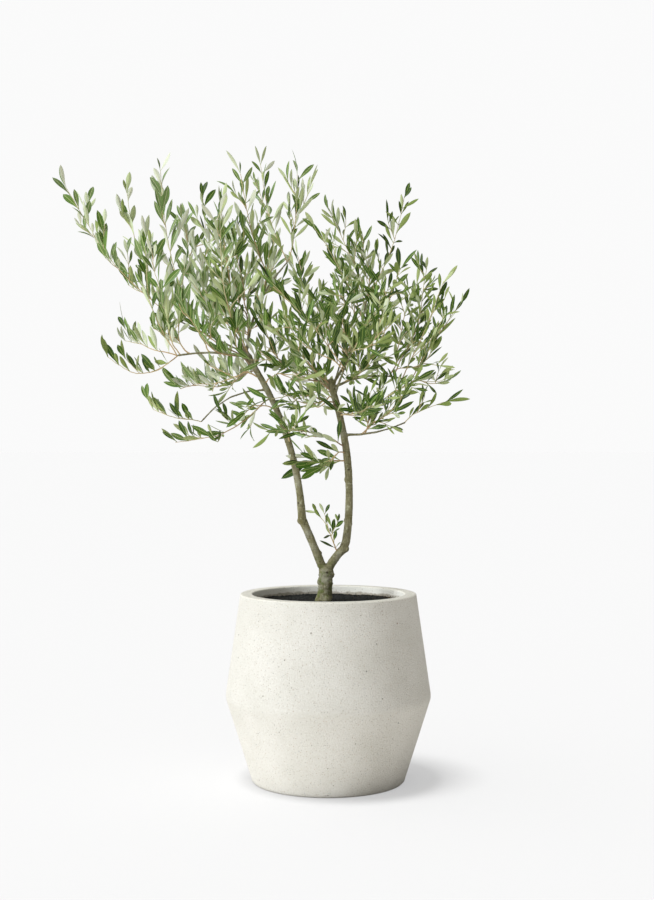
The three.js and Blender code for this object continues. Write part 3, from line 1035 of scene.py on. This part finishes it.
def tree_bark():
    """Olive-grey bark: stretched grain, pale lichen, dark scars, and moss at the foot of the tree."""
    p = Pattern("tree_bark", 0.88, 0.25)
    grain = p.noise(1.0, 5.0, 0.65, p.stretched(330, 330, 70))
    rings = p.noise(1.0, 3.0, 0.6, p.stretched(50, 50, 420))
    patch = p.noise(42, 4.0, 0.6)
    lichen = p.noise(95, 4.0, 0.65)
    shade = p.ramp(grain, [(0.22, "#5b5737"), (0.45, "#7b775b"), (0.6, "#8d896c"), (0.8, "#a4a082")])
    for value, low, high, most, over in ((patch, 0.5, 0.64, 0.6, "#9e9d8c"),
                                         (patch, 0.46, 0.32, 0.65, "#655f37"),
                                         (lichen, 0.57, 0.66, 0.6, "#b3b499"),
                                         (rings, 0.44, 0.34, 0.45, "#4c472f")):
        shade = p.blend(p.span(value, low, high, most), shade, over)
    spots, choice, _, _ = p.cells(75)
    scars = p.times(p.span(spots, 0.26, 0.1, 0.8), p.span(choice, 0.8, 0.82))
    shade = p.blend(scars, shade, "#3d3325")
    near_soil = p.span(p.height, 0.44, 0.36)
    moss = p.times(p.span(lichen, 0.51, 0.43, 0.7), near_soil)
    shade = p.blend(moss, shade, "#5d6a2c")
    height = p.maths("ADD", grain, p.times(lichen, 0.5))
    height = p.maths("ADD", height, p.times(rings, 0.6))
    return p.finish(shade, height, 1.1 * MM, 0.9)


# ---- pot and soil ----

# Measures of the planter and the soil's top, in millimetres as in the CAD.
POT = {"height": 346, "foot": 142.5, "crease": 190, "crease_height": 156, "rim": 163.4,
       "mouth": 140.6, "lip_foot": 306, "wall": 14, "floor": 16}
SOIL_TOP = 331
POT_SIDES = 360
SOIL_SIDES = 240
SOIL_RINGS = 70
CRUMBS = 2600
WALL_CRUMBS = 0.45  # share of the crumbs that lie at the wall
TRUNK_PLACE = Vector((-8, 0, 0)) * MM
CRUMB_SHADES = ["#3a342b", "#66573f", "#8b7c62"]


def pot_radius(z):
    """Radius of the pot's outer face at a height, both in millimetres."""
    if z < POT["crease_height"]:
        return mix(POT["foot"], POT["crease"], z / POT["crease_height"])
    upper = (z - POT["crease_height"]) / (POT["height"] - POT["crease_height"])
    return mix(POT["crease"], POT["rim"], upper)


def rounded(corners):
    """The points of a profile whose corners (radius, height, fillet) are turned into arcs."""
    points = []
    for i, (r, z, fillet) in enumerate(corners):
        corner = Vector((r, z))
        if not fillet:
            points.append(corner)
            continue
        before = (Vector(corners[i - 1][:2]) - corner).normalized()
        after = (Vector(corners[i + 1][:2]) - corner).normalized()
        half = before.angle(after) / 2
        back = fillet / math.tan(half)
        centre = corner + (before + after).normalized() * (fillet / math.sin(half))
        first, last = corner + before * back - centre, corner + after * back - centre
        points += [centre + first.slerp(last, k / 8).normalized() * fillet for k in range(9)]
    return points


def spaced(points, step):
    """The same profile with points added so that none is further than a step from the next."""
    found = [points[0]]
    for a, b in zip(points, points[1:]):
        count = max(1, math.ceil((b - a).length / step))
        found += [a.lerp(b, k / count) for k in range(1, count + 1)]
    return found


def ring(radius, height, sides):
    """A level ring of points about the upright axis; its measures are in millimetres."""
    angles = [TURN * k / sides for k in range(sides)]
    return [Vector((math.cos(a) * radius, math.sin(a) * radius, height)) * MM for a in angles]


def inner_radius(z):
    """Radius of the pot's inner face at a height, in millimetres."""
    lip, wall = POT["lip_foot"], POT["wall"]
    if z > lip:
        return POT["mouth"]
    if z > lip - wall:
        return mix(pot_radius(lip) - wall, POT["mouth"], (z - lip + wall) / wall)
    return pot_radius(z) - wall


def pot_relief(point):
    """How far the stone stands proud: the cast outside and rim are slightly uneven, the rest true."""
    if point.z <= 4 * MM or point.xy.length <= 130 * MM:
        return 0
    cast = 0.4 * noise.noise(point * 20) + 0.2 * noise.noise(point * 110)
    return (cast * 0.4 - 0.2) * MM


def add_pot():
    """The planter, turned from one profile that runs up the outside and down the inside."""
    top, crease, lip, floor = POT["height"], POT["crease_height"], POT["lip_foot"], POT["floor"]
    outer = [(0.01, 0, 0), (POT["foot"] - 3, 0, 0), (POT["foot"] - 0.4, 2.6, 0),
             (POT["crease"] + 0.9, crease, 32), (POT["rim"], top, 2.4), (POT["mouth"], top, 2.8)]
    inner = [(inner_radius(z), z, fillet)
             for z, fillet in ((lip, 6), (lip - POT["wall"], 0), (crease, 0), (floor, 0))]
    corners = rounded([*outer, *inner, (0.01, floor, 0)])
    profile = spaced(corners[:-4], 5.0) + corners[-4:]  # the soil hides the last four points
    pot = Builder()
    pot.grid([ring(p.x, p.y, POT_SIDES) for p in profile], [0] * POT_SIDES, wrap=True)
    piece = pot.build("planter", [cast_stone()], sharp=50)
    add_relief(piece.data, pot_relief)
    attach(piece, "root")
    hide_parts("pot")


def soil_height(place):
    """Height of the soil over its level, in millimetres: lumps, heaped at the trunk and the wall."""
    place = Vector((place.x, place.y, 0.0))
    edge = min(place.length / (140 * MM), 1.0)
    lumps = 1.8 * noise.noise(place * 30) + 0.9 * noise.noise(place * 140) + 0.7 * noise.noise(place * 420)
    heap = (0.6 + 2.5 * noise.noise(place * 14 + Vector((3.1, 0, 0)))) * max(edge - 0.75, 0) / 0.25
    trunk = 4 * math.exp(-(place - TRUNK_PLACE).length_squared / (26 * MM) ** 2)
    return lumps + max(heap, 0) + trunk - 1.2


def add_crumb(soil, rng, centre, size, slot):
    """A small uneven lump with six corners."""
    corners = []
    turn = Matrix.Rotation(rng.uniform(0, 6.28), 3, Vector((rng.gauss(0, 1), rng.gauss(0, 1), 1)))
    for axis in ((1, 0, 0), (-1, 0, 0), (0, 1, 0), (0, -1, 0), (0, 0, 1), (0, 0, -1)):
        corners.append(centre + turn @ Vector(axis) * size * rng.uniform(0.6, 1.2))
    first = len(soil.points)
    soil.points += corners
    for a, b in ((0, 2), (2, 1), (1, 3), (3, 0)):
        soil.faces += [(first + a, first + b, first + 4), (first + b, first + a, first + 5)]
        soil.slots += [slot, slot]


def add_crumbs(soil, rng):
    """Crumbs over the soil. Nearly half lie at the wall, where some stick to it."""
    for _ in range(CRUMBS):
        near_wall = rng.random() < WALL_CRUMBS
        share = rng.uniform(0.9, 1.0) if near_wall else math.sqrt(rng.random())
        size = rng.uniform(0.4, 1.1 if near_wall else 2.0) * MM
        radius = (inner_radius(SOIL_TOP) * MM - size) * share
        angle = rng.uniform(0, TURN)
        place = Vector((radius * math.cos(angle), radius * math.sin(angle), 0))
        lift = rng.uniform(0, 3) if near_wall and share > 0.985 else rng.uniform(-0.2, 0.6)
        place.z = (SOIL_TOP + soil_height(place) + lift) * MM
        pale_side = near_wall and place.x > 0
        slot = rng.choice((0, 1, 2, 3) if pale_side else (0, 0, 0, 0, 0, 1))
        add_crumb(soil, rng, place, size, slot)


def add_soil():
    """The soil: a lumpy top, crumbs on it, and plain sides that follow the inside of the planter."""
    soil = Builder()
    rows = []
    for i in range(SOIL_RINGS + 1):
        share = (i / SOIL_RINGS) ** 0.8
        rows.append(ring(mix(0.01, inner_radius(SOIL_TOP) - 0.5, share), SOIL_TOP, SOIL_SIDES))
        for point in rows[-1]:
            point.z += soil_height(point) * MM
    lip, base = POT["lip_foot"], POT["floor"] + 0.5
    for z in (SOIL_TOP - 20, lip - 1, lip - POT["wall"], POT["crease_height"], base):
        rows.append(ring(inner_radius(z) - 0.6, z, SOIL_SIDES))
    rows.append(ring(0.01, base, SOIL_SIDES))
    soil.grid(rows, [0] * SOIL_SIDES, wrap=True)
    add_crumbs(soil, random.Random("soil"))
    crumbs = [plain_material(f"crumb_{i}", shade, 0.9, 0.2) for i, shade in enumerate(CRUMB_SHADES)]
    piece = soil.build("potting_mix", [potting_mix(), *crumbs], sharp=45)
    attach(piece, "root")
    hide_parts("soil")


# ---- stage ----

FLOOR_REACH = 400.0  # metres from the middle to each edge
FLOOR_GLOW = {"Color": (0.98, 0.985, 1, 1), "Strength": 0.455}
FLOOR_SEEN = (0.3, 0.3, 0.3, 1)
FLOOR_LIT = (0.58, 0.567, 0.538, 1)
BACKDROP = 0.96
FILL_COLOUR = (1, 0.987, 0.955, 1)
FILL_LEFT, FILL_RIGHT = 0.64, 0.13  # light that the surroundings give from each side
LEVEL, OVERHEAD = 0.85, 2.3  # how much of it comes from the horizon and from overhead
# A sun's strength, its colour, its width in degrees and the direction that it stands in.
KEY = (1.9, (0.92, 0.966, 1.0), 22, (-0.81, -0.53, 0.36))
STEEP = (3.2, (1, 1, 1), 20, (-0.22, -0.1, 0.95))


def split_rays(tree, unseen, seen, output):
    """Gives the camera's rays one shader and all other rays another."""
    camera_rays = add_node(tree, "LightPath").outputs["Is Camera Ray"]
    blend = add_node(tree, "MixShader", {"Fac": camera_rays, 1: unseen.outputs[0], 2: seen.outputs[0]})
    add_node(tree, output, {"Surface": blend.outputs[0]})


def studio_floor():
    """A white floor that glows a little where it is seen, so that it meets the backdrop unseen."""
    material = bpy.data.materials.new("studio_floor")
    material.use_nodes = True
    tree = material.node_tree
    tree.nodes.clear()
    glow = add_node(tree, "Emission", FLOOR_GLOW)
    plain = add_node(tree, "BsdfDiffuse", {"Color": FLOOR_SEEN})
    seen = add_node(tree, "AddShader", {0: glow.outputs[0], 1: plain.outputs[0]})
    split_rays(tree, add_node(tree, "BsdfDiffuse", {"Color": FLOOR_LIT}), seen, "OutputMaterial")
    return material


def add_floor():
    edges = (-FLOOR_REACH, FLOOR_REACH)
    square = Builder()
    square.grid([[(x, y, 0) for x in edges] for y in edges], [0])
    floor = square.build("floor", [studio_floor()])
    return floor


def add_world():
    """A white backdrop, and light from all round that is brighter on the left and overhead."""
    world = bpy.data.worlds.new("studio")
    bpy.context.scene.world = world
    world.use_nodes = True
    tree = world.node_tree
    tree.nodes.clear()
    where = add_node(tree, "TexCoord").outputs["Generated"]
    split = add_node(tree, "SeparateXYZ", {0: where}).outputs
    across = add_node(tree, "MapRange", {"Value": split["X"], "From Min": -0.9, "From Max": 0.9,
                                         "To Min": FILL_LEFT, "To Max": FILL_RIGHT},
                      interpolation_type="SMOOTHSTEP")
    upward = add_node(tree, "MapRange", {"Value": split["Z"], "To Min": LEVEL, "To Max": OVERHEAD})
    strength = add_node(tree, "Math", {0: across.outputs[0], 1: upward.outputs[0]},
                        operation="MULTIPLY")
    fill = add_node(tree, "Background", {"Color": FILL_COLOUR, "Strength": strength.outputs[0]})
    seen = add_node(tree, "Background", {"Color": (1, 1, 1, 1), "Strength": BACKDROP})
    split_rays(tree, fill, seen, "OutputWorld")


def add_sun(name, strength, shade, angle, towards):
    """Adds a sun and gives its light linking."""
    sun = bpy.data.lights.new(name, "SUN")
    sun.energy = strength
    sun.color = shade
    sun.angle = math.radians(angle)
    lamp = add_object(name, sun)
    lamp.rotation_euler = Vector(towards).to_track_quat("Z", "Y").to_euler()
    return lamp.light_linking


def link_group(name, member, state):
    """A group of one object for light linking."""
    group = bpy.data.collections.new(name)
    group.objects.link(member)
    group.collection_objects[0].light_linking.link_state = state
    return group


def add_stage():
    """The floor, the world and two suns.

    The key's long shadow would show on so bright a floor, so the key leaves the floor out. A steep sun
    that lights only the floor gives the short, soft shadow at the planter's foot.
    """
    floor = add_floor()
    add_world()
    key = add_sun("key", *KEY)
    key.receiver_collection = link_group("key_receivers", floor, "EXCLUDE")
    steep = add_sun("steep", *STEEP)
    steep.receiver_collection = link_group("steep_receivers", floor, "INCLUDE")
    steep.blocker_collection = link_group("steep_blockers", bpy.data.objects["planter"], "INCLUDE")


def add_camera():
    """A level camera in front of the tree."""
    camera = bpy.data.cameras.new("camera")
    camera.lens = 55
    camera.sensor_width = 36
    eye = add_object("camera", camera)
    eye.location = (-0.0024, -2.557, 0.612)
    eye.rotation_euler = (math.pi / 2, 0, 0)
    bpy.context.scene.camera = eye


add_camera()
add_pot()
add_soil()
grow_bark()
grow_crown()
add_stage()
bpy.context.scene.view_settings.view_transform = "Standard"
